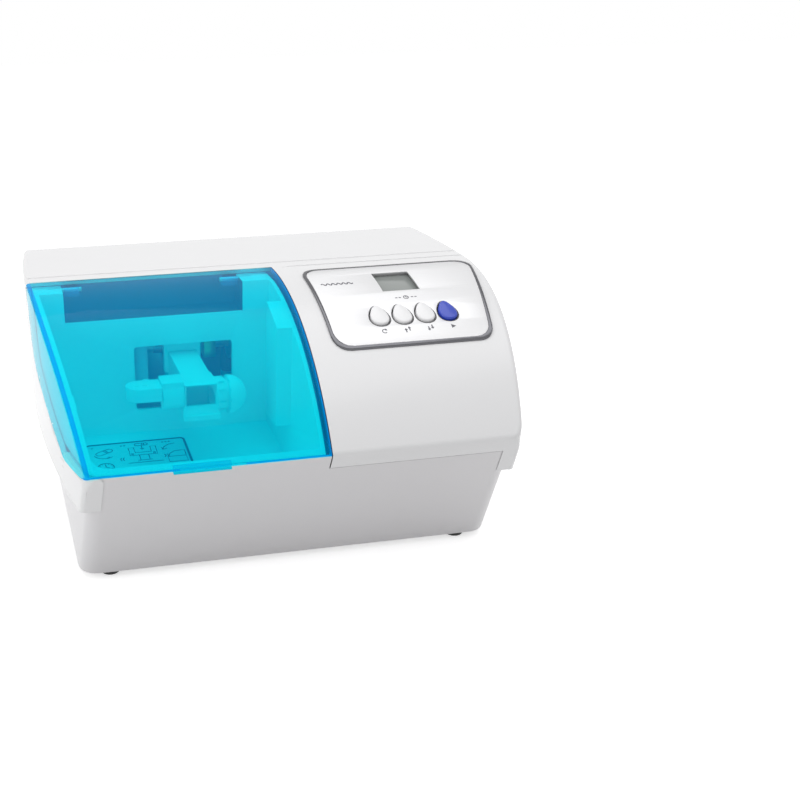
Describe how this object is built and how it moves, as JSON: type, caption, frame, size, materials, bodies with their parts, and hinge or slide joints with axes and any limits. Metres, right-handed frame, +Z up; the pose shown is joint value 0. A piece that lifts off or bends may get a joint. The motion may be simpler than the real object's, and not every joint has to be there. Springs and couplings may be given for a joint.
{
  "type": "dental amalgamator",
  "caption": "Bench mixer for dental capsules: white arched housing, hinged clear blue lid over a shaking arm, silver key panel with display, rear switch, fuses and mains cord.",
  "frame": {"origin": "on the table, at the middle of the width, 118 mm ahead of the back wall (bottom centre of the housing)", "axes": "+X towards the keys, along the width and the longest side; -Y towards the user; +Z up"},
  "size_m": [0.25, 0.3188, 0.1357],
  "materials": {
    "white_shell": "semi-gloss",
    "tub_white": "semi-gloss",
    "base_white": "matte",
    "liner_white": "satin",
    "lid_blue": "clear tinted",
    "steel": "satin",
    "zinc": "zinc plated",
    "chrome": "bright",
    "panel_silver": "brushed",
    "panel_edge": "dark bright",
    "display_glass": "clear grey",
    "display_grey": "satin",
    "board_green": "satin",
    "key_white": "gloss",
    "key_blue": "gloss",
    "black_plastic": "satin",
    "label_white": "gloss",
    "rubber_black": "matte",
    "stator_iron": "lacquered",
    "bell_aluminium": "cast",
    "fan_white": "matte",
    "sleeve_steel": "ground",
    "brass": "turned",
    "arm_white": "satin",
    "bearing_bronze": "turned",
    "transformer_core": "lacquered",
    "cord_black": "satin"
  },
  "bodies": {
    "housing": {"upper_housing": "white_shell", "lower_tub": "tub_white", "base_plate": "base_white", "chamber_liner": "liner_white", "hinge_pins": "steel", "lid_switch": "black_plastic", "control_overlay": "panel_silver", "overlay_border": "panel_edge", "display_window": "display_glass", "display_module": "display_grey", "control_board": "board_green", "key_switches": "black_plastic", "instruction_plate": "label_white", "chassis_plate": "zinc", "rubber_mounts": "rubber_black", "motor_stator": "stator_iron", "motor_end_bells": "bell_aluminium", "guide_bracket": "zinc", "transformer": "transformer_core", "power_board": "board_green", "fuse_holders": "black_plastic", "switch_housing": "black_plastic", "selector_body": "key_white", "selector_screws": "chrome", "strain_relief": "rubber_black", "rubber_feet": "rubber_black", "foot_screws": "zinc", "housing_screws": "zinc", "cord_run": "cord_black", "cord_hank": "cord_black", "hank_tie": "black_plastic", "plug_body": "cord_black", "plug_pins": "chrome"},
    "lid": {"lid": "lid_blue"},
    "key_recall": {"key_recall": "key_white"},
    "key_up": {"key_up": "key_white"},
    "key_down": {"key_down": "key_white"},
    "key_start": {"key_start": "key_blue"},
    "rotor": {"motor_shaft": "steel", "motor_rotor": "stator_iron", "cooling_fan": "fan_white", "crank_sleeve": "sleeve_steel", "balance_weight": "brass"},
    "arm": {"arm_housing": "arm_white", "arm_bearing": "bearing_bronze", "arm_bar": "arm_white", "fixed_jaw": "arm_white", "jaw_spring": "steel"},
    "jaw": {"sliding_jaw": "arm_white", "jaw_lever": "arm_white"},
    "fuse_cap_left": {"fuse_cap_left": "black_plastic"},
    "fuse_cap_right": {"fuse_cap_right": "black_plastic"},
    "rocker": {"switch_rocker": "black_plastic"},
    "selector": {"selector_slider": "black_plastic"}
  },
  "joints": [
    {"name": "lid_hinge", "type": "hinge", "parent": "housing", "child": "lid", "pos_m": [-0.0575, 0.00316, 0.1305], "axis": [1, 0, 0], "range_deg": [-62, 0]},
    {"name": "key_recall_press", "type": "slide", "parent": "housing", "child": "key_recall", "axis": [0, 0.4131, -0.9107], "range_m": [0, 0.0012], "stiffness_N_per_m": 900, "springref_m": -0.0004},
    {"name": "key_up_press", "type": "slide", "parent": "housing", "child": "key_up", "axis": [0, 0.4131, -0.9107], "range_m": [0, 0.0012], "stiffness_N_per_m": 900, "springref_m": -0.0004},
    {"name": "key_down_press", "type": "slide", "parent": "housing", "child": "key_down", "axis": [0, 0.4131, -0.9107], "range_m": [0, 0.0012], "stiffness_N_per_m": 900, "springref_m": -0.0004},
    {"name": "key_start_press", "type": "slide", "parent": "housing", "child": "key_start", "axis": [0, 0.4131, -0.9107], "range_m": [0, 0.0012], "stiffness_N_per_m": 900, "springref_m": -0.0004},
    {"name": "rotor_spin", "type": "hinge", "parent": "housing", "child": "rotor", "pos_m": [-0.042, 0.03556, 0.084], "axis": [1, 0, 0], "continuous": true},
    {"name": "arm_swing", "type": "hinge", "parent": "housing", "child": "arm", "pos_m": [-0.042, 0.03556, 0.084], "axis": [0, 0, 1], "range_deg": [-3, 3]},
    {"name": "jaw_slide", "type": "slide", "parent": "arm", "child": "jaw", "axis": [-1, 0, 0], "range_m": [0, 0.006], "stiffness_N_per_m": 300, "springref_m": -0.004, "deforming": ["jaw_spring"]},
    {"name": "fuse_cap_left_turn", "type": "hinge", "parent": "housing", "child": "fuse_cap_left", "pos_m": [0.0625, 0.09647, 0.0135], "axis": [0, 0.9917, -0.1289], "range_deg": [0, 90]},
    {"name": "fuse_cap_right_turn", "type": "hinge", "parent": "housing", "child": "fuse_cap_right", "pos_m": [0.043, 0.09647, 0.0135], "axis": [0, 0.9917, -0.1289], "range_deg": [0, 90]},
    {"name": "rocker_tilt", "type": "hinge", "parent": "housing", "child": "rocker", "pos_m": [0.016, 0.09653, 0.014], "axis": [0, -0.1289, -0.9917], "range_deg": [-14, 0]},
    {"name": "selector_slide", "type": "slide", "parent": "housing", "child": "selector", "axis": [1, 0, 0], "range_m": [0, 0.004]}
  ]
}
